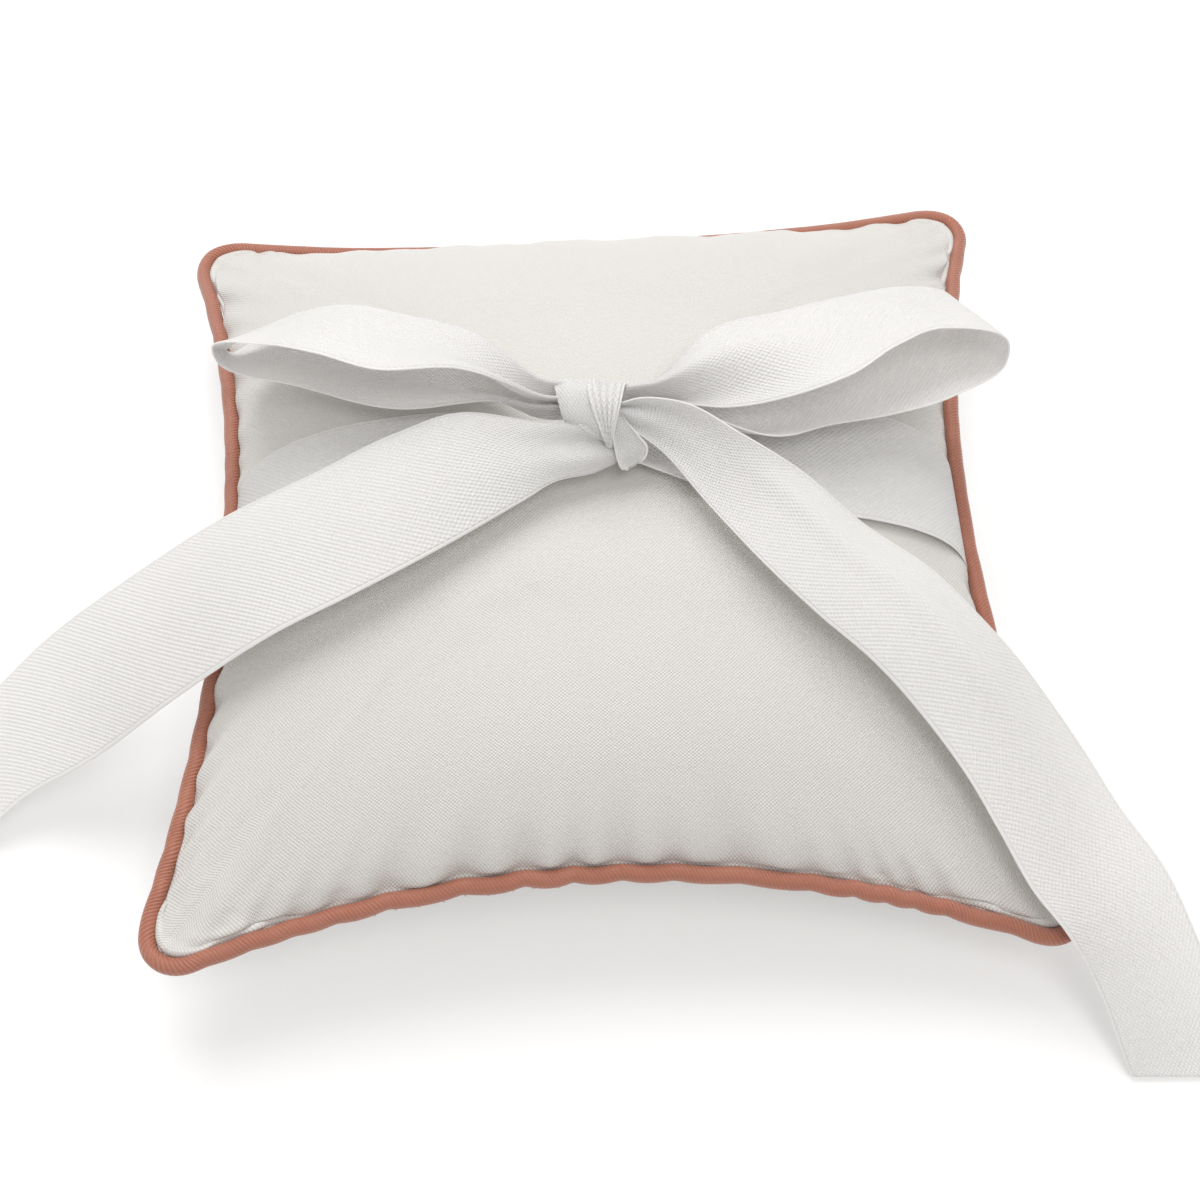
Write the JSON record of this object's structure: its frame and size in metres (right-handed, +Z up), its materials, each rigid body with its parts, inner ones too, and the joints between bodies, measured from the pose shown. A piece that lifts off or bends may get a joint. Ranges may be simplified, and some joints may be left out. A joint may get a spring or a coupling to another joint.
{
  "type": "ring bearer pillow",
  "caption": "Small stuffed satin pillow with pulled-in sides, piped edges and a ribbon bow tied on its crown to hold wedding rings.",
  "frame": {"origin": "centre of the flat patch that the pillow rests on, under its crown", "axes": "+Z up through the crown; +Y towards the back, where the bow's loops point; +X to the right seam, with the bands along X"},
  "size_m": [0.2185, 0.1661, 0.063],
  "materials": {
    "satin": "white bridal satin, fine weave, soft sheen",
    "satin_back": "white bridal satin, fine weave, soft sheen",
    "fibre": "loose polyester fibre",
    "piping_satin": "dusty rose satin wrapped over a cord",
    "cotton_cord": "twisted cotton cord",
    "thread": "polyester sewing thread",
    "thread_pale": "polyester sewing thread, sewn by hand",
    "ribbon_left": "white satin ribbon with woven edges",
    "ribbon_right": "white satin ribbon with woven edges",
    "ribbon_knot": "white satin ribbon, tightly folded",
    "ribbon_wrap": "white satin ribbon, tightly folded",
    "ribbon_loop_left": "white satin ribbon with woven edges",
    "ribbon_loop_right": "white satin ribbon with woven edges",
    "ribbon_tail_left": "white satin ribbon with woven edges",
    "ribbon_tail_right": "white satin ribbon with woven edges"
  },
  "bodies": {
    "pillow": {"front_panel": "satin", "back_panel": "satin_back", "filling": "fibre", "piping_cover": "piping_satin", "piping_cord": "cotton_cord", "seam_stitching": "thread", "closing_stitches": "thread_pale", "band_left": "ribbon_left", "band_right": "ribbon_right", "knot_core": "ribbon_knot", "knot_wrap": "ribbon_wrap"},
    "left_tail": {"tail_left": "ribbon_tail_left"},
    "right_tail": {"tail_right": "ribbon_tail_right"},
    "left_loop": {"loop_left": "ribbon_loop_left"},
    "right_loop": {"loop_right": "ribbon_loop_right"}
  },
  "joints": [
    {"name": "tail_left_lift", "type": "hinge", "parent": "pillow", "child": "left_tail", "pos_m": [-0.008, -0.0005, 0.0568], "axis": [-0.277, 0.9609, 0], "range_deg": [0, 60]},
    {"name": "tail_right_lift", "type": "hinge", "parent": "pillow", "child": "right_tail", "pos_m": [0.0085, 0.0005, 0.058], "axis": [-0.7483, -0.6633, 0], "range_deg": [0, 60]},
    {"name": "loop_left_swing", "type": "hinge", "parent": "pillow", "child": "left_loop", "pos_m": [-0.007, 0.004, 0.056], "axis": [0, 0, -1], "range_deg": [0, 15]},
    {"name": "loop_right_swing", "type": "hinge", "parent": "pillow", "child": "right_loop", "pos_m": [0.008, 0.004, 0.056], "axis": [0, 0, 1], "range_deg": [0, 15]}
  ]
}
